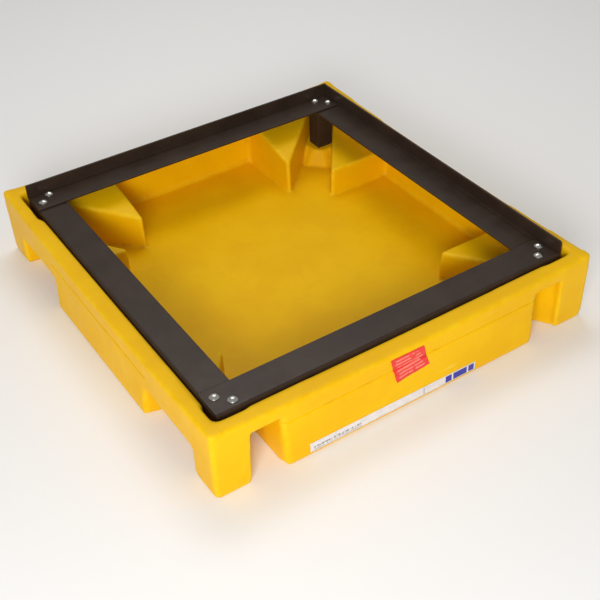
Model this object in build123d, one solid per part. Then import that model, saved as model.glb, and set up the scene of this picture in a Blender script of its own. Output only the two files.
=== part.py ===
"""Spill containment pallet: a moulded polyethylene basin with a steel support frame.

Millimetres. +Z up, origin on the floor under the middle of the basin.
+X is the right-hand side and -Y the front, which is the side with the labels.
The four rails, the four posts and their bolts are one frame, which lifts straight out of the basin.
"""
from build123d import *
import os

# ---------------------------------------------------------------- driving dimensions
OPENING_X = 711.0          # clear opening of the frame, side to side
OPENING_Y = 750.0          # clear opening of the frame, front to back
FRAME_TOP = 160.0          # top face of the front and back rails, above the floor

RAIL_FLAT = 71.0           # width of a rail's flat leg
RAIL_LIP = 30.0            # height of a rail's upright or hanging leg
STEEL = 5.0                # thickness of every steel leg and plate
BEND_OUT = 6.0             # outside radius of a rail's bend
LEG_END_ROUND = 1.2        # rounding of the free edge of a leg

POST_LEG = 43.0            # width of each leg of a corner post
POST_INSET = 3.0           # post's corner, outboard of the corner of the opening
POST_ROUND_OUT = 2.5       # the post's own bend
POST_ROUND_IN = 4.0
PLATE_CLEARANCE = 3.0      # plate's edge to the rails' hanging and upright legs
PLATE_ROUND = 4.0
SEAT_TOP = 46.0            # top of the moulded seat that a post stands on
SEAT_SLOPE = 38.0          # slope of the seat's sides from upright, degrees
SEAT_INNER = 48.0          # seat's inner edges at the floor, inboard of the opening's corner
SEAT_CHAMFER = 40.0        # corner cut off the seat, towards the middle of the basin
SEAT_ROUND = 8.0
CORE_INSET = 42.0          # solid bottom of a foot, inboard of the foot's inner sides
SIDE_END_GAP = 1.5         # side rails stop this far short of the front and back rails' lips
UPRIGHT_GAP = 0.5          # end of the right rail's upright over the front rail's bend
UPRIGHT_END_ROUND = 8.0

BOLT_NEAR = 25.0           # bolt centres, outboard of the opening's corner, short way
BOLT_FAR = 50.0            # and long way
BOLT_DIA = 10.0
BOLT_HOLE = 11.0
BOLT_HEAD_DIA = 20.5
BOLT_HEAD_HEIGHT = 6.0
BOLT_HEAD_RIM = 1.4        # height of the head's straight side, under the dome
BOLT_END_CHAMFER = 1.0
BOLT_TAIL = 4.0            # thread past the nut
WASHER_DIA = 20.0
WASHER_THICK = 2.0
NUT_FLATS = 16.0
NUT_HEIGHT = 8.0

RIM_X = 940.0              # basin over its rim, side to side
RIM_Y = 990.0              # basin over its rim, front to back
RIM_CORNER_TOP = 167.0     # height of the rim at its corners
RIM_SAG = 14.0             # how much lower the rim is at the middle of a side
BASE_DRAW = 2.0            # how much the walls lean in down to the floor, each side
CORNER_ROUND = 8.0         # plan radius of the basin's outer corners
WALL = 8.0                 # moulded wall
FLOOR_THICK = 9.0          # sump floor
SUMP_CORNER = 20.0         # plan radius of the sump's corners
SUMP_FLOOR_ROUND = 10.0

MOUTH_GAP = 3.0            # frame to rim, all round
MOUTH_ROUND = 10.0
SLOPE_BOTTOM = 151.0       # the rim's inner side slopes down at 45 degrees to this height
LIP_BOTTOM = 128.0         # underside of the rim's inner lip
LIP_RUN = 18.0             # height of the slope under the lip
NOTCH_GAP = 13.0           # frame to rim in the four corner notches
NOTCH_ALONG_X = 60.0       # notch length along the front and back rails, from the frame's corner
NOTCH_FRONT_Y = 45.0       # and along the side rails, at the front
NOTCH_BACK_Y = 108.0       # and at the back
NOTCH_ROUND = 12.0

LEG_X = 388.0              # inner side of a foot at the floor, from the middle
LEG_Y = 411.0
DRAFT = 1.0                # draft of the pockets' walls, degrees

FRONT_ARM = 316.0          # half width of the sump's front panel at the floor
BACK_ARM = 212.0           # half width of the sump's back panel
SIDE_ARM = 220.0           # half width of the sump's side panels
FRONT_TIP = 368.0          # innermost point of a front pocket at the floor, from the middle
BACK_TIP = 302.0
SIDE_TIP = 296.0
FRONT_SHOULDER = 15.0      # a foot's inner side runs straight this far in from the rim, then slants to the tip
BACK_SHOULDER = 28.0
SIDE_SHOULDER = 36.0
CREASE = 112.0             # height of the crease where a sump panel leaves the wall
PANEL_OUT = 5.0            # how far a panel's foot stands out past the rim
PANEL_DEPTH = 24.0         # thickness of the solid that makes a panel, into the wall
PANEL_MARGIN = 12.0        # a panel runs this far past the pocket's floor line, up to its leaning wall
MOUTH_DEPTH = 10.0         # a tall pocket's roof is level this far in from the rim
PAST_SKIN = 20.0           # pockets are cut this far past the skin
TALL_ROOF = 131.0          # roof of the front and back pockets, at the mouth
TALL_ROOF_IN = 88.0        # and at its inner end
LOW_ROOF = 76.0            # roof of the side pockets
BLOCK_WALL = 7.0
POCKET_ROUND = 4.0         # rounding inside a pocket
BLOCK_ROUND = 5.0          # rounding of the block that a pocket makes in the sump

LABEL_THICK = 0.5
WARNING_WIDTH = 98.0
WARNING_MID = -19.0        # middle of the red label, along X
WARNING_TOP = 143.0
WARNING_BOTTOM = 78.0
INFO_LEFT = -261.0
INFO_RIGHT = 154.0
INFO_TOP = 32.0
INFO_BOTTOM = 9.0

# ---------------------------------------------------------------- worked-out sizes
HALF_OPEN_X = OPENING_X / 2
HALF_OPEN_Y = OPENING_Y / 2
FRAME_X = HALF_OPEN_X + RAIL_FLAT      # outer half sizes of the frame
FRAME_Y = HALF_OPEN_Y + RAIL_FLAT
SIDE_TOP = FRAME_TOP - STEEL           # the side rails lie under the front and back rails
PLATE_TOP = SIDE_TOP - STEEL
POST_TOP = PLATE_TOP - STEEL
UPRIGHT_TOP = FRAME_TOP + RAIL_LIP

CORNERS = {
    "front_left": (-1, -1),
    "front_right": (1, -1),
    "back_left": (-1, 1),
    "back_right": (1, 1),
}


def block(x0, x1, y0, y1, z0, z1):
    """Box between two corners."""
    centre = ((x0 + x1) / 2, (y0 + y1) / 2, (z0 + z1) / 2)
    return Pos(*centre) * Box(abs(x1 - x0), abs(y1 - y0), abs(z1 - z0))


def rounded_rect(half_x, half_y, radius, z):
    """Rounded rectangle in plan at height z."""
    return Pos(0, 0, z) * RectangleRounded(2 * half_x, 2 * half_y, radius)


def tapered_body(bottom, top):
    """Solid between two plan outlines, each (half_x, half_y, radius, z)."""
    return loft([rounded_rect(*bottom), rounded_rect(*top)], ruled=True)


def wall_face(half_rim, z):
    """How far out the leaning outer wall is at height z."""
    return half_rim - BASE_DRAW * (1 - z / RIM_CORNER_TOP)


# ---------------------------------------------------------------- basin
def outer_body():
    """Outside of the basin without its pockets: leaning walls and the sump's flared panels."""
    floor = (wall_face(RIM_X / 2, 0), wall_face(RIM_Y / 2, 0), CORNER_ROUND, 0)
    body = tapered_body(floor, (RIM_X / 2, RIM_Y / 2, CORNER_ROUND, RIM_CORNER_TOP))
    for half_arm, half_depth, turn in (
        (FRONT_ARM + PANEL_MARGIN, RIM_Y / 2, 0),
        (BACK_ARM + PANEL_MARGIN, RIM_Y / 2, 180),
        (SIDE_ARM + PANEL_MARGIN, RIM_X / 2, 90),
        (SIDE_ARM + PANEL_MARGIN, RIM_X / 2, 270),
    ):
        body += Rot(0, 0, turn) * panel(half_arm, half_depth)
    return body


def panel(half_arm, half_depth):
    """Panel on the -Y side, which flares from the crease down to the floor."""
    back = PANEL_DEPTH - half_depth
    profile = [(back, 0), (-(half_depth + PANEL_OUT), 0), (-wall_face(half_depth, CREASE), CREASE), (back, CREASE)]
    section = make_face(Polyline(*[(0, y, z) for y, z in profile], close=True))
    return extrude(section, amount=half_arm, dir=(1, 0, 0), both=True)


def pocket_outline(kind, grow=0.0):
    """Plan outline of one pocket in the (+X, +Y) corner, or of the wall around it when grown."""
    if kind == "side":
        outline = [
            (RIM_X / 2 + PAST_SKIN, LEG_Y),
            (RIM_X / 2 - SIDE_SHOULDER, LEG_Y),
            (SIDE_TIP, SIDE_ARM),
            (RIM_X / 2 + PAST_SKIN, SIDE_ARM),
        ]
    else:
        arm = FRONT_ARM if kind == "front" else BACK_ARM
        tip = FRONT_TIP if kind == "front" else BACK_TIP
        shoulder = FRONT_SHOULDER if kind == "front" else BACK_SHOULDER
        outline = [
            (arm, RIM_Y / 2 + PAST_SKIN),
            (arm, tip),
            (LEG_X, RIM_Y / 2 - shoulder),
            (LEG_X, RIM_Y / 2 + PAST_SKIN),
        ]
    face = make_face(Polyline(*outline, close=True))
    if grow:
        face = offset(face, amount=grow, kind=Kind.INTERSECTION)
    return face


def under_roof(kind, lift):
    """Everything below a pocket's roof, in the (+X, +Y) corner."""
    if kind == "side":
        return block(0, RIM_X, 0, RIM_Y, -1, LOW_ROOF + lift)
    tip = FRONT_TIP if kind == "front" else BACK_TIP
    section = make_face(
        Polyline(
            (0, 0, -1),
            (0, RIM_Y / 2 + PAST_SKIN, -1),
            (0, RIM_Y / 2 + PAST_SKIN, TALL_ROOF + lift),
            (0, RIM_Y / 2 - MOUTH_DEPTH, TALL_ROOF + lift),
            (0, tip, TALL_ROOF_IN + lift),
            (0, 0, TALL_ROOF_IN + lift),
            close=True,
        )
    )
    return extrude(section, amount=RIM_X, dir=(1, 0, 0))


def pocket(kind, grow=0.0):
    """Space of one pocket, or the block of wall around it when grown."""
    prism = extrude(Pos(0, 0, -1) * pocket_outline(kind, grow), amount=RIM_CORNER_TOP, taper=DRAFT)
    space = prism & under_roof(kind, grow)
    mouth_x = (RIM_X + PAST_SKIN) / 2
    mouth_y = (RIM_Y + PAST_SKIN) / 2
    inner = [e for e in space.edges() if e.center().X < mouth_x and e.center().Y < mouth_y and e.center().Z > 0]
    return fillet(inner, BLOCK_ROUND if grow else POCKET_ROUND)


def at_corner(shape, sx, sy):
    """A (+X, +Y) corner shape mirrored to the corner with signs sx, sy."""
    if sx < 0:
        shape = mirror(shape, about=Plane.YZ)
    if sy < 0:
        shape = mirror(shape, about=Plane.XZ)
    return shape


def sump_space():
    """The inside of the basin, before the pocket blocks and the seats are put back."""
    low_x = wall_face(RIM_X / 2, 0) - WALL
    low_y = wall_face(RIM_Y / 2, 0) - WALL
    under_lip = LIP_BOTTOM - LIP_RUN
    high_x = wall_face(RIM_X / 2, under_lip) - WALL
    high_y = wall_face(RIM_Y / 2, under_lip) - WALL
    mouth_x = FRAME_X + MOUTH_GAP
    mouth_y = FRAME_Y + MOUTH_GAP
    space = tapered_body((low_x, low_y, SUMP_CORNER, FLOOR_THICK), (high_x, high_y, SUMP_CORNER, under_lip))
    space = fillet(space.edges().group_by(Axis.Z)[0], SUMP_FLOOR_ROUND)
    space += tapered_body((high_x, high_y, SUMP_CORNER, under_lip), (mouth_x, mouth_y, MOUTH_ROUND, LIP_BOTTOM))
    mouth = (mouth_x, mouth_y, MOUTH_ROUND)
    space += tapered_body((*mouth, LIP_BOTTOM), (*mouth, SLOPE_BOTTOM))
    rise = RIM_CORNER_TOP + 1 - SLOPE_BOTTOM
    top = (mouth_x + rise, mouth_y + rise, MOUTH_ROUND + rise, SLOPE_BOTTOM + rise)
    space += tapered_body((*mouth, SLOPE_BOTTOM), top)
    notch_x = FRAME_X + NOTCH_GAP
    notch_y = FRAME_Y + NOTCH_GAP
    for sx, sy in CORNERS.values():
        length_y = NOTCH_FRONT_Y if sy < 0 else NOTCH_BACK_Y
        notch = block(FRAME_X - NOTCH_ALONG_X, notch_x, FRAME_Y - length_y, notch_y, SEAT_TOP, UPRIGHT_TOP)
        notch = fillet(notch.edges().filter_by(Axis.Z), NOTCH_ROUND)
        space += at_corner(notch, sx, sy)
    return space


def post_seat():
    """Raised seat in one corner, with sloping sides down to the sump floor."""
    inner_x = HALF_OPEN_X - SEAT_INNER
    inner_y = HALF_OPEN_Y - SEAT_INNER
    outline = [
        (inner_x, inner_y + SEAT_CHAMFER),
        (inner_x + SEAT_CHAMFER, inner_y),
        (RIM_X / 2, inner_y),
        (RIM_X / 2, RIM_Y / 2),
        (inner_x, RIM_Y / 2),
    ]
    face = fillet(make_face(Polyline(*outline, close=True)).vertices(), SEAT_ROUND)
    seat = extrude(Pos(0, 0, 1) * face, amount=SEAT_TOP - 1, taper=SEAT_SLOPE)
    return (seat + foot_core()) & inner_limit()


def foot_core():
    """Solid bottom of a foot, under the seat."""
    return block(LEG_X - CORE_INSET, RIM_X / 2, LEG_Y - CORE_INSET, RIM_Y / 2, 0, SEAT_TOP)


def rim_cut():
    """Space above the rim, which dips towards the middle of each side."""
    mid_top = RIM_CORNER_TOP - RIM_SAG
    above = []
    for half, axis_dir in ((RIM_Y / 2, "y"), (RIM_X / 2, "x")):
        radius = (half ** 2 + RIM_SAG ** 2) / (2 * RIM_SAG)
        centre = mid_top + radius
        cylinder = Cylinder(radius, 2 * RIM_Y)
        if axis_dir == "y":
            cylinder = Pos(0, 0, centre) * Rot(0, 90, 0) * cylinder
        else:
            cylinder = Pos(0, 0, centre) * Rot(90, 0, 0) * cylinder
        above.append(cylinder & block(-RIM_X, RIM_X, -RIM_Y, RIM_Y, mid_top - 1, RIM_CORNER_TOP + 5))
    return above


def build_basin():
    basin = outer_body()
    for cut in rim_cut():
        basin -= cut
    basin -= sump_space()
    for sx, sy in CORNERS.values():
        end = "front" if sy < 0 else "back"
        basin += at_corner(post_seat(), sx, sy)
        basin += at_corner(pocket(end, BLOCK_WALL), sx, sy) & inner_limit()
        basin += at_corner(pocket("side", BLOCK_WALL), sx, sy) & inner_limit()
    for sx, sy in CORNERS.values():
        end = "front" if sy < 0 else "back"
        basin -= at_corner(pocket(end), sx, sy)
        basin -= at_corner(pocket("side"), sx, sy)
    return basin


def inner_limit():
    """Keeps the blocks of wall and the seats inside the basin's outer skin."""
    inset = WALL / 2
    floor = (wall_face(RIM_X / 2, 0) - inset, wall_face(RIM_Y / 2, 0) - inset, CORNER_ROUND - inset, 0)
    top = (RIM_X / 2 - inset, RIM_Y / 2 - inset, CORNER_ROUND - inset, RIM_CORNER_TOP)
    return tapered_body(floor, top)


# ---------------------------------------------------------------- frame
def nearest(face, u, v):
    """Vertex of a flat profile nearest to the point (u, v)."""
    return face.vertices().sort_by_distance((u, v, 0))[0]


def rail_profile(lip_down, lip):
    """Angle section: u inwards from the outer face, v up from the top of the flat leg."""
    lip_end = -lip if lip_down else lip
    bend_v = 0 if lip_down else -STEEL
    inside_v = -STEEL if lip_down else 0
    points = [
        (0, bend_v),
        (RAIL_FLAT, bend_v),
        (RAIL_FLAT, inside_v),
        (STEEL, inside_v),
        (STEEL, lip_end),
        (0, lip_end),
    ]
    face = make_face(Polyline(*points, close=True))
    face = fillet(nearest(face, 0, bend_v), BEND_OUT)
    face = fillet(nearest(face, STEEL, inside_v), BEND_OUT - STEEL)
    for u, v in ((RAIL_FLAT, bend_v), (RAIL_FLAT, inside_v), (STEEL, lip_end), (0, lip_end)):
        face = fillet(nearest(face, u, v), LEG_END_ROUND)
    return face


def rail(start, inwards, length, lip_down, lip=RAIL_LIP):
    """One rail: its profile at the start point, run along its length."""
    plane = Plane(origin=start, x_dir=inwards, z_dir=Vector(*inwards).cross(Vector(0, 0, 1)))
    return extrude(plane * rail_profile(lip_down, lip), amount=length)


def bolt_points(sx, sy):
    """Centres of the two bolts in one corner."""
    pairs = ((BOLT_NEAR, BOLT_FAR), (BOLT_FAR, BOLT_NEAR))
    return [(sx * (HALF_OPEN_X + dx), sy * (HALF_OPEN_Y + dy)) for dx, dy in pairs]


def drilled(shape, corners):
    """Shape with the bolt holes of the named corners drilled through it."""
    for name in corners:
        for x, y in bolt_points(*CORNERS[name]):
            shape -= Pos(x, y, FRAME_TOP) * Cylinder(BOLT_HOLE / 2, 2 * RAIL_LIP)
    return shape


def build_rails():
    inner_y = FRAME_Y - STEEL
    inner_x = FRAME_X - STEEL
    front = rail((-FRAME_X, -FRAME_Y, FRAME_TOP), (0, 1, 0), 2 * FRAME_X, True)
    cut_x = inner_x - SIDE_END_GAP
    front -= block(cut_x, FRAME_X + 1, -inner_y, 0, PLATE_TOP, FRAME_TOP + 1)
    back = rail((FRAME_X, FRAME_Y, FRAME_TOP), (0, -1, 0), 2 * FRAME_X, False)
    back -= block(cut_x, FRAME_X + 1, 0, inner_y, PLATE_TOP, UPRIGHT_TOP + 1)
    side_end = inner_y - SIDE_END_GAP
    left = rail((-FRAME_X, side_end, SIDE_TOP), (1, 0, 0), 2 * side_end, True)
    right = rail((FRAME_X, -FRAME_Y, SIDE_TOP), (-1, 0, 0), FRAME_Y + side_end, False, RAIL_LIP + STEEL)
    right -= block(0, FRAME_X + 1, -FRAME_Y - 1, -side_end, 0, FRAME_TOP + UPRIGHT_GAP)
    right -= upright_end_cut()
    return {
        "front_rail": drilled(front, ("front_left", "front_right")),
        "back_rail": drilled(back, ("back_left", "back_right")),
        "left_rail": drilled(left, ("front_left", "back_left")),
        "right_rail": drilled(right, ("front_right", "back_right")),
    }


def upright_end_cut():
    """What rounding takes off the top front corner of the right rail's upright."""
    y = UPRIGHT_END_ROUND - FRAME_Y
    z = UPRIGHT_TOP - UPRIGHT_END_ROUND
    corner = block(0, FRAME_X + 1, -FRAME_Y - 1, y, z, UPRIGHT_TOP + 1)
    return corner - Pos(0, y, z) * Rot(0, 90, 0) * Cylinder(UPRIGHT_END_ROUND, 2 * RIM_X)


def corner_post():
    """Angle post of the (+X, +Y) corner, with its corner towards the middle of the basin."""
    x = HALF_OPEN_X + POST_INSET
    y = HALF_OPEN_Y + POST_INSET
    points = [
        (x, y),
        (x + POST_LEG, y),
        (x + POST_LEG, y + STEEL),
        (x + STEEL, y + STEEL),
        (x + STEEL, y + POST_LEG),
        (x, y + POST_LEG),
    ]
    face = make_face(Polyline(*points, close=True))
    face = fillet(nearest(face, x, y), POST_ROUND_OUT)
    face = fillet(nearest(face, x + STEEL, y + STEEL), POST_ROUND_IN)
    return extrude(Pos(0, 0, SEAT_TOP) * face, amount=POST_TOP - SEAT_TOP, dir=(0, 0, 1))


def corner_plate():
    """Plate welded on a post, which the bolts pull up under the rails."""
    edge = STEEL + PLATE_CLEARANCE
    plate = block(HALF_OPEN_X, FRAME_X - edge, HALF_OPEN_Y, FRAME_Y - edge, POST_TOP, PLATE_TOP)
    return fillet(plate.edges().filter_by(Axis.Z), PLATE_ROUND)


def bolt():
    """Dome-headed bolt hanging from the top face of the frame, at the origin of its axis."""
    tail = POST_TOP - WASHER_THICK - NUT_HEIGHT - BOLT_TAIL
    radius = BOLT_HEAD_DIA / 2
    shank = BOLT_DIA / 2
    outline = Polyline(
        (0, FRAME_TOP + BOLT_HEAD_HEIGHT),
        (0, tail),
        (shank - BOLT_END_CHAMFER, tail),
        (shank, tail + BOLT_END_CHAMFER),
        (shank, FRAME_TOP),
        (radius, FRAME_TOP),
        (radius, FRAME_TOP + BOLT_HEAD_RIM),
    )
    rise = BOLT_HEAD_HEIGHT - BOLT_HEAD_RIM
    dome_radius = (radius ** 2 + rise ** 2) / (2 * rise)
    half_way = radius / 2
    half_way_z = FRAME_TOP + BOLT_HEAD_HEIGHT - dome_radius + (dome_radius ** 2 - half_way ** 2) ** 0.5
    dome = ThreePointArc(
        (radius, FRAME_TOP + BOLT_HEAD_RIM), (half_way, half_way_z), (0, FRAME_TOP + BOLT_HEAD_HEIGHT)
    )
    section = make_face(outline + dome)
    return revolve(Plane.XZ * section, Axis.Z)


def washer():
    z = POST_TOP - WASHER_THICK / 2
    return Pos(0, 0, z) * (Cylinder(WASHER_DIA / 2, WASHER_THICK) - Cylinder(BOLT_DIA / 2, WASHER_THICK))


def nut():
    z = POST_TOP - WASHER_THICK - NUT_HEIGHT
    hexagon = RegularPolygon(NUT_FLATS / 2, 6, major_radius=False)
    body = extrude(Pos(0, 0, z) * hexagon, amount=NUT_HEIGHT, dir=(0, 0, 1))
    return body - Pos(0, 0, z) * Cylinder(BOLT_DIA / 2, 3 * NUT_HEIGHT)


# ---------------------------------------------------------------- labels
def skin_strip(points, x0, x1):
    """Thin label wrapped over the front of the basin: skin points (y, z) from top to bottom."""
    outer = [(0, y - LABEL_THICK, z) for y, z in points]
    inner = [(0, y, z) for y, z in reversed(points)]
    face = make_face(Polyline(*outer, *inner, close=True))
    return extrude(Pos(x0, 0, 0) * face, amount=x1 - x0, dir=(1, 0, 0))


def panel_y(z):
    """Where the front panel's face is at height z, up to the crease, and the wall's face above it."""
    if z > CREASE:
        return -wall_face(RIM_Y / 2, z)
    foot = RIM_Y / 2 + PANEL_OUT
    return -(foot + (wall_face(RIM_Y / 2, CREASE) - foot) * z / CREASE)


def build_labels():
    warning = [(panel_y(z), z) for z in (WARNING_TOP, CREASE, WARNING_BOTTOM)]
    info = [(panel_y(z), z) for z in (INFO_TOP, INFO_BOTTOM)]
    half = WARNING_WIDTH / 2
    return {
        "warning_label": skin_strip(warning, WARNING_MID - half, WARNING_MID + half),
        "information_label": skin_strip(info, INFO_LEFT, INFO_RIGHT),
    }


# ---------------------------------------------------------------- assembly
def build_nodes():
    nodes = {"basin": build_basin()}
    nodes.update(build_rails())
    for name, (sx, sy) in CORNERS.items():
        nodes[name + "_post"] = at_corner(corner_post(), sx, sy)
        nodes[name + "_plate"] = drilled(at_corner(corner_plate(), sx, sy), (name,))
        for piece, make in (("bolts", bolt), ("washers", washer), ("nuts", nut)):
            pair = [Pos(x, y, 0) * make() for x, y in bolt_points(sx, sy)]
            nodes[name + "_" + piece] = Compound(children=pair)
    nodes.update(build_labels())
    return nodes


os.makedirs("parts", exist_ok=True)
for node, shape in build_nodes().items():
    export_step(shape, "parts/" + node + ".step")
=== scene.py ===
"""Looks of a spill containment pallet: a moulded polyethylene basin, a painted steel support frame,
zinc-plated fasteners and two printed labels."""
import math

import bmesh
import bpy
from mathutils import Matrix, Quaternion, Vector, noise
from mathutils.bvhtree import BVHTree


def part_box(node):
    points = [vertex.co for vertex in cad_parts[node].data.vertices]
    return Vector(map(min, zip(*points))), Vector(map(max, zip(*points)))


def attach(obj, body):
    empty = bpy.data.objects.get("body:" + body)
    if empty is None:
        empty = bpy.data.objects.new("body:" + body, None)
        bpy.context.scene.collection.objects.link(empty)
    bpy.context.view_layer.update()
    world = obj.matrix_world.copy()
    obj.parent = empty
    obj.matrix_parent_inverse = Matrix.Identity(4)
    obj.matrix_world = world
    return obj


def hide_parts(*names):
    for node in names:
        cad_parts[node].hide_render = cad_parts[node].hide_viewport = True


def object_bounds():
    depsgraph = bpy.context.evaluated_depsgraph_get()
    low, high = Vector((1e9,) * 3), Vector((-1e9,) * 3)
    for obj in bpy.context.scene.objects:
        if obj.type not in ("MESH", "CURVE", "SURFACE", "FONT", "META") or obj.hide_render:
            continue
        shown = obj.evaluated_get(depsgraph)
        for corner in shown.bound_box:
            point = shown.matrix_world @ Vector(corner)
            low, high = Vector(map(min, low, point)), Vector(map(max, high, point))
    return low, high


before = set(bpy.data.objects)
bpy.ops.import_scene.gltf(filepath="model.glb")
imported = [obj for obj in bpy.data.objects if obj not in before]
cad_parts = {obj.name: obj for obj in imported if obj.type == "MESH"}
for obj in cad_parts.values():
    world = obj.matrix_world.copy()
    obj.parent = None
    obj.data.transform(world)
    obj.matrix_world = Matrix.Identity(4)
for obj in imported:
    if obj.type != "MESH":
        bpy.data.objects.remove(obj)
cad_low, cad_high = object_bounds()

MM = 0.001
CORNERS = {"front_left": (-1, -1), "front_right": (1, -1), "back_left": (-1, 1), "back_right": (1, 1)}
SIDES = ("front", "back", "left", "right")


# ---------------------------------------------------------------- mesh helpers
def new_piece(name, bm):
    """Object at the origin from a bmesh."""
    mesh = bpy.data.meshes.new(name)
    bm.to_mesh(mesh)
    bm.free()
    piece = bpy.data.objects.new(name, mesh)
    bpy.context.scene.collection.objects.link(piece)
    for face in mesh.polygons:
        face.use_smooth = True
    return piece


def apply_modifiers(piece):
    """Bakes the piece's modifiers into its mesh."""
    bpy.context.view_layer.update()
    graph = bpy.context.evaluated_depsgraph_get()
    mesh = bpy.data.meshes.new_from_object(piece.evaluated_get(graph))
    piece.modifiers.clear()
    old = piece.data
    piece.data = mesh
    bpy.data.meshes.remove(old)
    return piece


def cad_copy(node):
    """A bmesh of a CAD node with its corners merged."""
    bm = bmesh.new()
    bm.from_mesh(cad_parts[node].data)
    bmesh.ops.remove_doubles(bm, verts=bm.verts, dist=0.01 * MM)
    return bm


def finish_piece(piece, material, body, slot, *nodes):
    """Gives a piece its finish and its body, and hides the CAD nodes it stands for."""
    piece.data.materials.clear()
    piece.data.materials.append(material)
    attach(piece, body)
    if nodes:
        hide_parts(*nodes)
    return piece


# ---------------------------------------------------------------- material helpers
class Finish:
    """A node material under construction."""

    def __init__(self, name):
        self.material = bpy.data.materials.new(name)
        self.material.use_nodes = True
        self.tree = self.material.node_tree
        self.tree.nodes.clear()
        self.shader = self.add("ShaderNodeBsdfPrincipled")
        output = self.add("ShaderNodeOutputMaterial")
        self.tree.links.new(self.shader.outputs["BSDF"], output.inputs["Surface"])
        coordinates = self.add("ShaderNodeTexCoord")
        self.place = coordinates.outputs["Object"]
        self.print_place = coordinates.outputs["UV"]

    def add(self, kind, **settings):
        node = self.tree.nodes.new(kind)
        for key, value in settings.items():
            setattr(node, key, value)
        return node

    def put(self, socket, value):
        """Links an output to a socket, or sets its value."""
        if isinstance(value, bpy.types.NodeSocket):
            self.tree.links.new(value, socket)
        else:
            socket.default_value = value

    def set(self, name, value):
        self.put(self.shader.inputs[name], value)

    def noise(self, scale, detail=3.0, rough=0.5, stretch=None, twist=0.0, turn=(0, 0, 0)):
        """Noise from 0 to 1, in patches of about 1/scale metres."""
        place = self.place
        if stretch:
            mapping = self.add("ShaderNodeMapping")
            self.put(mapping.inputs["Vector"], place)
            mapping.inputs["Rotation"].default_value = turn
            mapping.inputs["Scale"].default_value = stretch
            place = mapping.outputs["Vector"]
        node = self.add("ShaderNodeTexNoise")
        self.put(node.inputs["Vector"], place)
        node.inputs["Scale"].default_value = scale
        node.inputs["Detail"].default_value = detail
        node.inputs["Roughness"].default_value = rough
        node.inputs["Distortion"].default_value = twist
        return node.outputs["Fac"]

    def cells(self, scale):
        """Voronoi cells of about 1/scale metres."""
        node = self.add("ShaderNodeTexVoronoi")
        self.put(node.inputs["Vector"], self.place)
        node.inputs["Scale"].default_value = scale
        return node

    def math(self, operation, *values, clamp=False):
        node = self.add("ShaderNodeMath", operation=operation, use_clamp=clamp)
        for socket, value in zip(node.inputs, values):
            self.put(socket, value)
        return node.outputs["Value"]

    def remap(self, value, low, high, new_low=0.0, new_high=1.0):
        """Maps low..high to new_low..new_high, with soft ends."""
        node = self.add("ShaderNodeMapRange", interpolation_type="SMOOTHSTEP")
        names = ("Value", "From Min", "From Max", "To Min", "To Max")
        for name, number in zip(names, (value, low, high, new_low, new_high)):
            self.put(node.inputs[name], number)
        return node.outputs["Result"]

    def mix(self, factor, first, second, blend="MIX"):
        """Mixes two colours."""
        node = self.add("ShaderNodeMix", data_type="RGBA", blend_type=blend)
        self.put(node.inputs["Factor"], factor)
        for socket, value in ((node.inputs[6], first), (node.inputs[7], second)):
            self.put(socket, (*value, 1.0) if isinstance(value, tuple) else value)
        return node.outputs[2]

    def bumps(self, *layers):
        """Stacks bump layers, each (height, distance in metres, strength)."""
        normal = None
        for height, distance, strength in layers:
            node = self.add("ShaderNodeBump")
            self.put(node.inputs["Height"], height)
            node.inputs["Distance"].default_value = distance
            node.inputs["Strength"].default_value = strength
            if normal is not None:
                self.put(node.inputs["Normal"], normal)
            normal = node.outputs["Normal"]
        self.set("Normal", normal)

    def band(self, value, low, high, soft):
        """1 between low and high, with soft edges."""
        rise = self.remap(value, low - soft, low + soft)
        fall = self.remap(value, high - soft, high + soft, 1.0, 0.0)
        return self.math("MULTIPLY", rise, fall)

    def print_axes(self):
        """Across and up a label, each from 0 to 1."""
        split = self.add("ShaderNodeSeparateXYZ")
        self.put(split.inputs["Vector"], self.print_place)
        return split.outputs["X"], split.outputs["Y"]

    def attribute(self, name):
        return self.add("ShaderNodeAttribute", attribute_name=name).outputs["Fac"]


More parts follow.
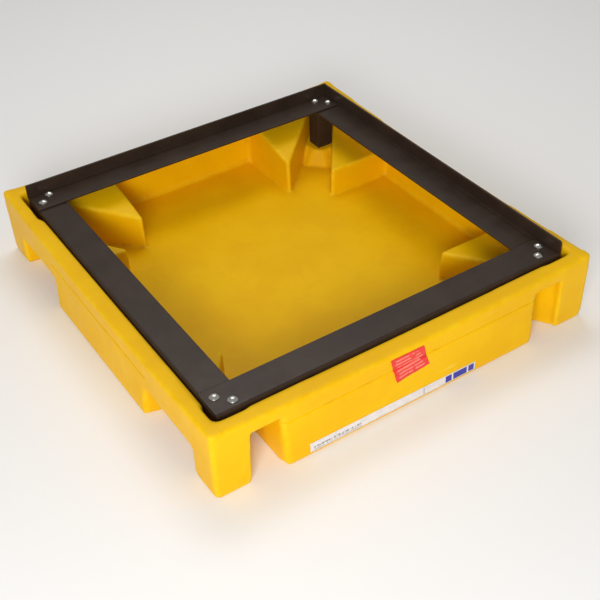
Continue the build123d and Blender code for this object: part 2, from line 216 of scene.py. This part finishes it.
# ---------------------------------------------------------------- materials
def polyethylene():
    """Rotationally moulded yellow polyethylene: waxy, faintly mottled, paler where its edges are rubbed, and
    darkened in its hollows by painted shade.
    """
    made = Finish("yellow_polyethylene")
    mottle = made.noise(7.0, 4.0, 0.55)
    colour = made.mix(made.remap(mottle, 0.35, 0.65), (0.86, 0.475, 0.0006), (0.90, 0.520, 0.0008))
    cloud = made.noise(38.0, 5.0, 0.6)
    colour = made.mix(made.remap(cloud, 0.52, 0.75, 0.0, 0.35), colour, (0.82, 0.42, 0.0006))
    worn = made.remap(made.noise(55.0, 6.0, 0.65), 0.38, 0.62)
    rubbed = made.math("MULTIPLY", made.attribute("edge"), worn)
    colour = made.mix(made.math("MULTIPLY", rubbed, 0.35), colour, (0.92, 0.67, 0.030))
    # painted shade: a darker orange-brown laid into the hollows, where shade falls
    painted_hollow_shade = made.math("MULTIPLY", made.attribute("hollow"), made.remap(made.noise(30.0, 5.0, 0.6), 0.35, 0.7))
    colour = made.mix(made.math("MULTIPLY", painted_hollow_shade, 0.40), colour, (0.50, 0.24, 0.010))
    scuffs = made.math(
        "MULTIPLY",
        made.remap(made.noise(9.0, 8.0, 0.7, (1.0, 14.0, 9.0), 0.3, (0.3, 0.1, 0.5)), 0.60, 0.68),
        made.remap(made.noise(4.0, 2.0), 0.5, 0.62),
    )
    colour = made.mix(made.math("MULTIPLY", scuffs, 0.30), colour, (0.93, 0.70, 0.12))
    made.set("Base Color", colour)
    rough = made.remap(made.noise(16.0, 4.0, 0.6), 0.3, 0.7, 0.36, 0.47)
    rough = made.math("ADD", rough, made.math("MULTIPLY", rubbed, 0.12))
    made.set("Roughness", made.math("ADD", rough, made.math("MULTIPLY", scuffs, 0.12), clamp=True))
    made.set("IOR", 1.5)
    made.set("Specular IOR Level", 0.13)
    made.set("Subsurface Weight", 0.06)
    made.set("Subsurface Radius", (1.0, 0.45, 0.05))
    made.set("Subsurface Scale", 4 * MM)
    made.bumps(
        (made.noise(11.0, 2.0, 0.4), 2.2 * MM, 0.30),
        (made.noise(90.0, 3.0, 0.5), 0.35 * MM, 0.30),
        (made.noise(1100.0, 2.0, 0.5), 0.05 * MM, 0.45),
        (scuffs, 0.08 * MM, 0.5),
    )
    return made.material


def frame_paint():
    """Semi-gloss black powder coat on steel angle, with a fine orange peel and light handling marks."""
    made = Finish("black_powder_coat")
    cloud = made.noise(14.0, 5.0, 0.6)
    colour = made.mix(made.remap(cloud, 0.3, 0.7), (0.031, 0.0185, 0.0125), (0.043, 0.0265, 0.0180))
    hairlines = made.math(
        "MULTIPLY",
        made.remap(made.noise(5.0, 6.0, 0.75, (0.6, 55.0, 8.0), 0.2, (0.0, 0.0, 0.35)), 0.63, 0.70),
        made.remap(made.noise(6.5, 3.0), 0.48, 0.62),
    )
    dust = made.remap(made.noise(240.0, 4.0, 0.7), 0.62, 0.76)
    colour = made.mix(made.math("MULTIPLY", dust, 0.20), colour, (0.17, 0.13, 0.095))
    colour = made.mix(made.math("MULTIPLY", hairlines, 0.22), colour, (0.11, 0.10, 0.09))
    made.set("Base Color", colour)
    rough = made.remap(made.noise(22.0, 5.0, 0.6), 0.3, 0.7, 0.30, 0.42)
    rough = made.math("ADD", rough, made.math("MULTIPLY", dust, 0.14))
    made.set("Roughness", made.math("ADD", rough, made.math("MULTIPLY", hairlines, 0.1), clamp=True))
    made.set("IOR", 1.52)
    made.set("Specular IOR Level", 0.25)
    made.bumps(
        (made.noise(5.0, 1.0, 0.4), 1.2 * MM, 0.25),
        (made.noise(420.0, 2.0, 0.5), 0.06 * MM, 0.55),
        (hairlines, 0.02 * MM, 0.5),
    )
    return made.material


def zinc_plate():
    """Bright zinc plating with a fine grain and a little staining."""
    made = Finish("zinc_plating")
    patches = made.cells(260.0)
    colour = made.mix(patches.outputs["Distance"], (0.66, 0.65, 0.61), (0.50, 0.50, 0.49))
    stain = made.remap(made.noise(150.0, 5.0, 0.65), 0.50, 0.72)
    colour = made.mix(made.math("MULTIPLY", stain, 0.45), colour, (0.42, 0.37, 0.29))
    made.set("Base Color", colour)
    made.set("Metallic", 1.0)
    made.set("Roughness", made.remap(made.noise(300.0, 4.0, 0.6), 0.3, 0.7, 0.20, 0.32))
    made.bumps((made.noise(900.0, 3.0, 0.6), 0.04 * MM, 0.5), (made.noise(160.0, 2.0), 0.10 * MM, 0.35))
    return made.material


WARNING_ROWS = 6            # rows of bars on the red label
INFORMATION_BLOCKS = ((0.807, 0.846), (0.856, 0.943), (0.953, 0.989))   # ends, across the white strip


def printed_vinyl(name, colour, mark_colour, marks):
    """Glossy printed vinyl: a base colour with marks in a second colour."""
    made = Finish(name)
    fade = made.remap(made.noise(60.0, 4.0, 0.6), 0.3, 0.7)
    base = made.mix(fade, colour, tuple(0.86 * c for c in colour))
    made.set("Base Color", made.mix(marks(made), base, mark_colour))
    made.set("Roughness", made.remap(made.noise(120.0, 4.0, 0.6), 0.3, 0.7, 0.24, 0.42))
    made.bumps((made.noise(45.0, 3.0, 0.5), 0.5 * MM, 0.35), (made.noise(600.0, 2.0), 0.03 * MM, 0.4))
    return made


def warning_marks(made):
    """Rows of plain broken bars."""
    across, up = made.print_axes()
    breaks = made.remap(made.noise(85.0, 1.0, 0.4, (1.0, 1.0, 0.25)), 0.40, 0.46)
    total = None
    for row in range(WARNING_ROWS):
        middle = 0.14 + 0.145 * row
        bar = made.math("MULTIPLY", made.band(up, middle - 0.035, middle + 0.035, 0.012), breaks)
        start = 0.10 + 0.03 * (row % 2)
        end = 0.90 - 0.05 * (row % 3)
        bar = made.math("MULTIPLY", bar, made.band(across, start, end, 0.01))
        total = bar if total is None else made.math("MAXIMUM", total, bar)
    return made.math("MULTIPLY", total, 0.8)


def warning_vinyl():
    red, pink = (0.86, 0.030, 0.022), (0.93, 0.25, 0.19)
    return printed_vinyl("red_warning_vinyl", red, pink, warning_marks).material


def information_marks(made):
    """Two rows of small grey bars and a thin rule."""
    across, up = made.print_axes()
    breaks = made.remap(made.noise(210.0, 2.0, 0.6, (1.0, 1.0, 0.3)), 0.42, 0.50)
    rows = made.math("MAXIMUM", made.band(up, 0.34, 0.56, 0.04), made.band(up, 0.16, 0.24, 0.03))
    writing = made.math("MULTIPLY", made.math("MULTIPLY", rows, breaks), made.band(across, 0.02, 0.29, 0.004))
    rule = made.math("MULTIPLY", made.band(across, 0.668, 0.674, 0.001), made.band(up, 0.1, 0.8, 0.03))
    return made.math("MULTIPLY", made.math("MAXIMUM", writing, rule), 0.75)


def information_vinyl():
    """White strip with grey print at one end and plain blue blocks at the other."""
    white, grey, blue = (0.83, 0.79, 0.78), (0.17, 0.16, 0.20), (0.030, 0.032, 0.36)
    made = printed_vinyl("white_information_vinyl", white, grey, information_marks)
    across, up = made.print_axes()
    blocks = None
    for left, right in INFORMATION_BLOCKS:
        block = made.band(across, left, right, 0.001)
        blocks = block if blocks is None else made.math("MAXIMUM", blocks, block)
    blocks = made.math("MULTIPLY", blocks, made.band(up, 0.10, 0.88, 0.03))
    under = made.shader.inputs["Base Color"].links[0].from_socket
    made.set("Base Color", made.mix(blocks, under, blue))
    return made.material


def weld_steel():
    """Painted-over weld metal with ripples."""
    made = Finish("painted_weld")
    grain = made.noise(300.0, 5.0, 0.65)
    dark, light = (0.012, 0.010, 0.009), (0.045, 0.036, 0.030)
    made.set("Base Color", made.mix(made.remap(grain, 0.35, 0.7), dark, light))
    made.set("Roughness", made.remap(made.noise(150.0, 3.0, 0.6), 0.3, 0.7, 0.32, 0.55))
    made.bumps((grain, 0.15 * MM, 0.6), (made.noise(900.0, 2.0), 0.05 * MM, 0.5))
    return made.material


# ---------------------------------------------------------------- basin
VOXEL = 4.6 * MM
BASIN_TRIANGLES = 188000
SKIN_DEPTH = 22 * MM        # what counts as the outer skin, in from the furthest point of a side
RIM_FOOT = 138 * MM         # the rim is rounder from here up
SOLE = 16 * MM              # and the feet and panels from here down
PANEL_TOP = 135 * MM
PANEL_END_SOFT = 9 * MM     # a panel's upright edge is rounded this far to each side
PANEL_HALF = {"front": 316 * MM, "back": 212 * MM, "left": 220 * MM, "right": 220 * MM}
CREASE = 112 * MM           # height of the crease over the sump panels
CREASE_HALF = 4.2 * MM      # its half height, depth, and how far it runs past the panel's ends
CREASE_DEPTH = 3.2 * MM
CREASE_OVERRUN = 14 * MM
CREASE_FADE = 12 * MM
CREASE_SKIN = 14 * MM
CREASE_BAND = 9 * MM
CREASE_CUTS = (-1.0, -0.45, 0.0, 0.45, 1.0)     # heights of the rows of edges, in crease half heights
FULL_BEND = 60.0            # turn of the surface, in radians per metre, that counts as a full edge
OUTWARD = {
    "front": Vector((0, -1, 0)),
    "back": Vector((0, 1, 0)),
    "left": Vector((-1, 0, 0)),
    "right": Vector((1, 0, 0)),
}


def smooth(bm, keep, rounds):
    """Smooths the vertices that keep() accepts."""
    chosen = [v for v in bm.verts if keep(v.co)]
    for _ in range(rounds):
        bmesh.ops.smooth_vert(
            bm, verts=chosen, factor=0.5, use_axis_x=True, use_axis_y=True, use_axis_z=True,
        )


def settle(piece, tree):
    """Moves the vertices of a piece onto the nearest points of a surface."""
    for vert in piece.data.vertices:
        vert.co = tree.find_nearest(vert.co)[0]


def on_front_or_back(co):
    return abs(co.y) > cad_high.y - SKIN_DEPTH


def outside(co):
    """True near the basin's outer skin."""
    return abs(co.x) > cad_high.x - SKIN_DEPTH or on_front_or_back(co)


def panel_end(co):
    """True near the upright edges at the ends of the sump panels."""
    if not outside(co) or co.z > PANEL_TOP:
        return False
    if on_front_or_back(co):
        along, side = abs(co.x), "front" if co.y < 0 else "back"
    else:
        along, side = abs(co.y), "left"
    return PANEL_HALF[side] - PANEL_END_SOFT < along < PANEL_HALF[side] + PANEL_END_SOFT


def mark_edges(mesh):
    """Writes how sharply the surface turns at each vertex.

    The attribute edge is where it stands out, and hollow where it dips in.
    """
    bm = bmesh.new()
    bm.from_mesh(mesh)
    bend = [0.0] * len(bm.verts)
    for vert in bm.verts:
        reach = [e for e in vert.link_edges if len(e.link_faces) == 2]
        turns = [e.calc_face_angle_signed(0.0) / max(e.calc_length(), MM) for e in reach]
        bend[vert.index] = sum(turns) / max(len(turns), 1)
    for _ in range(2):
        bend = [
            0.5 * bend[v.index]
            + 0.5 * sum(bend[e.other_vert(v).index] for e in v.link_edges) / max(len(v.link_edges), 1)
            for v in bm.verts
        ]
    bm.free()
    for name, sign in (("edge", 1.0), ("hollow", -1.0)):
        layer = mesh.attributes.new(name, "FLOAT", "POINT")
        layer.data.foreach_set("value", [min(max(sign * b / FULL_BEND, 0.0), 1.0) for b in bend])


def press_crease(bm, side, rim):
    """Presses the crease over one sump panel into the skin.

    Rows of edges are cut in first, and the middle row is sunk the most.
    """
    out = OUTWARD[side]
    along = out.cross(Vector((0, 0, 1)))
    half = PANEL_HALF[side] + CREASE_OVERRUN

    def on_panel(co):
        near = abs(co.z - CREASE) < CREASE_BAND and co.dot(out) > rim - CREASE_SKIN
        return near and abs(co.dot(along)) < half

    for step in CREASE_CUTS:
        faces = [f for f in bm.faces if on_panel(f.calc_center_median())]
        edges = list({e for f in faces for e in f.edges})
        verts = list({v for f in faces for v in f.verts})
        geometry = faces + edges + verts
        height = Vector((0, 0, CREASE + step * CREASE_HALF))
        bmesh.ops.bisect_plane(bm, geom=geometry, dist=0.02 * MM, plane_co=height, plane_no=(0, 0, 1))
    for vert in bm.verts:
        if on_panel(vert.co):
            away = (vert.co.z - CREASE) / CREASE_HALF
            fade = min(1.0, (half - abs(vert.co.dot(along))) / CREASE_FADE)
            vert.co -= out * CREASE_DEPTH * fade * math.exp(-3.0 * away * away)


def build_basin(material):
    """The moulded basin: the CAD basin with the soft edges of a moulding."""
    source = cad_copy("basin")
    tree = BVHTree.FromBMesh(source)
    piece = new_piece("moulded_basin", source)
    remesh = piece.modifiers.new("even_mesh", "REMESH")
    remesh.mode = "VOXEL"
    remesh.voxel_size = VOXEL
    apply_modifiers(piece)
    settle(piece, tree)
    bm = bmesh.new()
    bm.from_mesh(piece.data)
    smooth(bm, lambda co: True, 2)
    smooth(bm, lambda co: co.z > RIM_FOOT, 5)
    smooth(bm, lambda co: co.z < SOLE and outside(co), 6)
    smooth(bm, panel_end, 12)
    bm.to_mesh(piece.data)
    bm.free()
    triangles = sum(len(p.vertices) - 2 for p in piece.data.polygons)
    thin = piece.modifiers.new("fewer_faces", "DECIMATE")
    thin.ratio = min(1.0, BASIN_TRIANGLES / triangles)
    apply_modifiers(piece)
    bm = bmesh.new()
    bm.from_mesh(piece.data)
    for side, out in OUTWARD.items():
        press_crease(bm, side, max(abs(cad_low.dot(out)), abs(cad_high.dot(out))))
    bm.to_mesh(piece.data)
    bm.free()
    for face in piece.data.polygons:
        face.use_smooth = True
    mark_edges(piece.data)
    return finish_piece(piece, material, "basin", "basin_plastic", "basin")


# ---------------------------------------------------------------- labels
LABEL_LIFT = 0.35 * MM
LABEL_FILM = 0.2 * MM
WARNING_SKEW = 16 * MM      # the red label is stuck on askew: its lower edge is this far to the right
WARNING_LEAN = 9 * MM       # and its lower right corner this much higher than its lower left one
WARNING_RAGGED = 0.7 * MM
WARNING_CRUMPLE = 1.3 * MM  # how far the labels stand off the skin in their wrinkles
STRIP_CRUMPLE = 0.25 * MM
STRIP_LEAN = 3 * MM         # the white strip is this much taller at its left end
LABEL_EDGE = 0.08           # part of a label along its edges that lifts a little more


def front_skin(piece):
    """A function that gives Y of the basin's front skin at a place (x, z)."""
    bm = bmesh.new()
    bm.from_mesh(piece.data)
    tree = BVHTree.FromBMesh(bm)
    bm.free()
    start = cad_low.y - 0.1

    def find(x, z):
        hit = tree.ray_cast(Vector((x, start, z)), Vector((0, 1, 0)))[0]
        return hit.y

    return find


def build_label(name, columns, rows, place, skin, crumple, material):
    """Thin label laid on the front skin. place(u, v) gives X and Z of a point on it."""
    bm = bmesh.new()
    bmesh.ops.create_grid(bm, x_segments=columns, y_segments=rows, size=0.5)
    axes = {v: (v.co.x + 0.5, v.co.y + 0.5) for v in bm.verts}
    layer = bm.loops.layers.uv.new("print")
    for face in bm.faces:
        for loop in face.loops:
            loop[layer].uv = axes[loop.vert]
    for vert, (u, v) in axes.items():
        x, z = place(u, v)
        wrinkle = crumple * max(noise.noise(Vector((x, 0.0, z)) * 55.0) + 0.35, 0.0)
        near_edge = max(0.0, 1 - min(u, 1 - u, v, 1 - v) / LABEL_EDGE)
        wrinkle += 0.4 * crumple * near_edge * max(noise.noise(Vector((x, 3.0, z)) * 90.0), 0.0)
        vert.co = Vector((x, skin(x, z) - LABEL_LIFT - wrinkle, z))
    bmesh.ops.smooth_vert(bm, verts=bm.verts, factor=0.3, use_axis_x=False, use_axis_y=True, use_axis_z=False)
    piece = new_piece(name, bm)
    film = piece.modifiers.new("film", "SOLIDIFY")
    film.thickness = LABEL_FILM
    film.offset = -1.0
    apply_modifiers(piece)
    return finish_piece(piece, material, "basin", name, name)


def build_labels(basin):
    skin = front_skin(basin)
    low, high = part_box("warning_label")
    width = high.x - low.x - WARNING_SKEW

    def warning_place(u, v):
        ragged = WARNING_RAGGED * noise.noise(Vector((u * 9.0, v * 9.0, 4.0)))
        x = low.x + width * u + WARNING_SKEW * (1 - v) + ragged
        z = low.z + (high.z - low.z) * v + WARNING_LEAN * u * (1 - 1.1 * v) + ragged
        return x, z

    build_label("warning_label", 56, 42, warning_place, skin, WARNING_CRUMPLE, warning_vinyl())
    strip_low, strip_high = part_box("information_label")

    def strip_place(u, v):
        x = strip_low.x + (strip_high.x - strip_low.x) * u
        z = strip_low.z + (strip_high.z - strip_low.z) * (0.9 * v) + STRIP_LEAN * (1 - u) * v
        return x, z

    build_label("information_label", 150, 8, strip_place, skin, STRIP_CRUMPLE, information_vinyl())


# ---------------------------------------------------------------- welds
BEAD_RADIUS = 3.0 * MM
BEAD_STEP = 2.4 * MM        # from ripple to ripple
BEAD_TAPER = 2.5 * MM       # length of a bead's rounded ends
BEAD_MARGIN = 2 * MM        # bead's ends to the ends of the post's legs
BEAD_DROP = 0.8 * MM        # bead's middle under the plate


def weld_bead(start, end):
    """Bmesh of a rippled round bead between two points, closed at both ends."""
    run = end - start
    half = run.length / 2
    bm = bmesh.new()
    round_bar = {"segments": 10, "radius1": BEAD_RADIUS, "radius2": BEAD_RADIUS, "depth": run.length}
    bmesh.ops.create_cone(bm, cap_ends=True, cap_tris=False, **round_bar)
    sides = [e for e in bm.edges if abs(e.verts[0].co.z - e.verts[1].co.z) > half]
    bmesh.ops.subdivide_edges(bm, edges=sides, cuts=int(run.length / BEAD_STEP * 4))
    for vert in bm.verts:
        ripple = 1.0 + 0.13 * math.cos(2 * math.pi * (vert.co.z + half) / BEAD_STEP)
        taper = min(1.0, 0.25 + (half - abs(vert.co.z)) / BEAD_TAPER)
        vert.co.x *= ripple * taper
        vert.co.y *= ripple * taper
    turn = Vector((0, 0, 1)).rotation_difference(run).to_matrix().to_4x4()
    bmesh.ops.transform(bm, matrix=Matrix.Translation((start + end) / 2) @ turn, verts=bm.verts)
    return bm


def build_welds(material):
    """Beads where each post meets its plate."""
    for name, (sx, sy) in CORNERS.items():
        low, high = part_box(name + "_post")
        inner = Vector((low.x if sx > 0 else high.x, low.y if sy > 0 else high.y, high.z - BEAD_DROP))
        reach = high.x - low.x - BEAD_MARGIN
        for axis, way in (("x", Vector((sx, 0, 0))), ("y", Vector((0, sy, 0)))):
            bead = weld_bead(inner + way * BEAD_MARGIN, inner + way * reach)
            piece = new_piece(name + "_weld_" + axis, bead)
            finish_piece(piece, material, "support_frame", "frame_paint")


# ---------------------------------------------------------------- stage, lights and camera
FLOOR_SIZE = 14.0           # half width, metres
CAMERA_PLACE = Vector((-1.0299, -1.6990, 1.5394))
CAMERA_AZIMUTH = 32.26      # degrees from +Y towards +X
CAMERA_DOWN = 38.91         # degrees below level
CAMERA_ROLL = 2.11
CAMERA_LENS = 64.27


def build_camera():
    """Camera from the front left and above."""
    data = bpy.data.cameras.new("camera")
    data.lens = CAMERA_LENS
    data.sensor_width = 36.0
    data.clip_start = 0.05
    data.clip_end = 50.0
    camera = bpy.data.objects.new("camera", data)
    bpy.context.scene.collection.objects.link(camera)
    turn, down = math.radians(CAMERA_AZIMUTH), math.radians(CAMERA_DOWN)
    look = Vector((math.sin(turn) * math.cos(down), math.cos(turn) * math.cos(down), -math.sin(down)))
    camera.rotation_mode = "QUATERNION"
    camera.rotation_quaternion = Quaternion(look, math.radians(CAMERA_ROLL)) @ look.to_track_quat("-Z", "Y")
    camera.location = CAMERA_PLACE
    bpy.context.scene.camera = camera


def softbox(name, place, aim, width, height, watts, colour=(1.0, 1.0, 1.0)):
    """Rectangular studio light at place, aimed at a point."""
    data = bpy.data.lights.new(name, "AREA")
    data.shape = "RECTANGLE"
    data.size, data.size_y = width, height
    data.energy = watts
    data.color = colour
    light = bpy.data.objects.new(name, data)
    bpy.context.scene.collection.objects.link(light)
    light.location = place
    light.rotation_mode = "QUATERNION"
    light.rotation_quaternion = (Vector(aim) - Vector(place)).to_track_quat("-Z", "Y")


def build_stage():
    """Plain pale floor, soft lights and an even pale surround."""
    bm = bmesh.new()
    bmesh.ops.create_grid(bm, x_segments=4, y_segments=4, size=FLOOR_SIZE)
    floor = new_piece("floor", bm)
    made = Finish("pale_floor")
    made.set("Base Color", (0.95, 0.95, 0.95, 1.0))
    made.set("Roughness", 0.7)
    floor.data.materials.append(made.material)
    world = bpy.data.worlds.new("surround")
    world.use_nodes = True
    background = world.node_tree.nodes["Background"]
    background.inputs["Color"].default_value = (1.0, 0.98, 0.95, 1.0)
    background.inputs["Strength"].default_value = 0.38
    bpy.context.scene.world = world
    softbox("key_softbox", (-1.9, -2.5, 1.55), (0.0, 0.0, 0.1), 1.3, 0.8, 72.0, (1.0, 0.99, 0.97))
    softbox("overhead_softbox", (0.6, 1.2, 2.8), (0.0, 0.2, 0.0), 1.9, 1.3, 25.0, (1.0, 0.99, 0.97))


# ---------------------------------------------------------------- put together
def paint_node(node, material):
    """Gives a CAD node's slots a material."""
    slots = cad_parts[node].material_slots
    for number in range(len(slots)):
        slots[number].material = material
    if not slots:
        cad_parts[node].data.materials.append(material)


plastic = polyethylene()
paint = frame_paint()
zinc = zinc_plate()
basin = build_basin(plastic)
build_labels(basin)
build_welds(weld_steel())
for side in SIDES:
    paint_node(side + "_rail", paint)
for corner in CORNERS:
    for part in ("post", "plate"):
        paint_node(corner + "_" + part, paint)
    for part in ("bolts", "washers", "nuts"):
        paint_node(corner + "_" + part, zinc)
build_stage()
build_camera()
view = bpy.context.scene.view_settings
view.view_transform = "Standard"
view.look = "None"
view.exposure = 0.0
